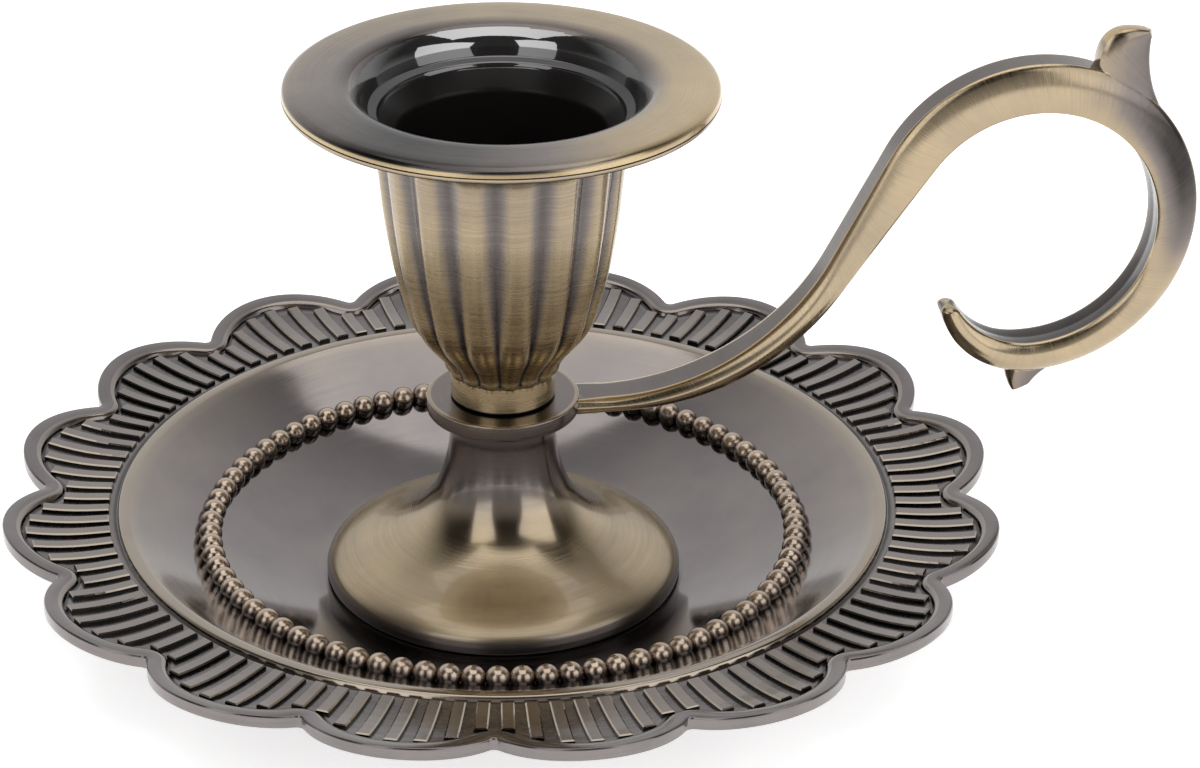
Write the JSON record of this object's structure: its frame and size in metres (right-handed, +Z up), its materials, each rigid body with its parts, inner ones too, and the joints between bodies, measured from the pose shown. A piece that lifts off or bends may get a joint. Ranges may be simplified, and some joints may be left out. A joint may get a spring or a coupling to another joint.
{
  "type": "chamberstick with finger loop",
  "caption": "Antique brass chamberstick: scalloped, beaded drip plate, trumpet pedestal, reeded candle cup with a wide flange, and a scrolled handle with a finger loop.",
  "frame": {"origin": "on the stick's axis, on the table plane under the drip plate", "axes": "+Z up along the candle's axis; +X from the axis out along the handle"},
  "size_m": [0.1303, 0.1088, 0.0623],
  "materials": {
    "drip_plate": "antiqued satin, lacquered",
    "pedestal": "antiqued, turned and brushed",
    "handle": "antiqued, brushed across",
    "candle_cup": "antiqued, brushed, dark grooves",
    "steel": "zinc plated"
  },
  "bodies": {
    "base": {"drip_plate": "drip_plate", "pedestal": "pedestal", "handle": "handle", "washer": "steel"},
    "screw": {"tie_screw": "steel"},
    "cup": {"candle_cup": "candle_cup"}
  },
  "joints": [
    {"name": "screw_turn", "type": "hinge", "parent": "base", "child": "screw", "pos_m": [0, 0, 0], "axis": [0, 0, -1], "range_deg": [0, 5040]},
    {"name": "cup_lift", "type": "slide", "parent": "base", "child": "cup", "axis": [0, 0, 1], "range_m": [0, 0.0098]}
  ],
  "couplings": [
    {"joint": "screw_turn", "follows": "cup_lift", "rad_per_m": 8976}
  ]
}
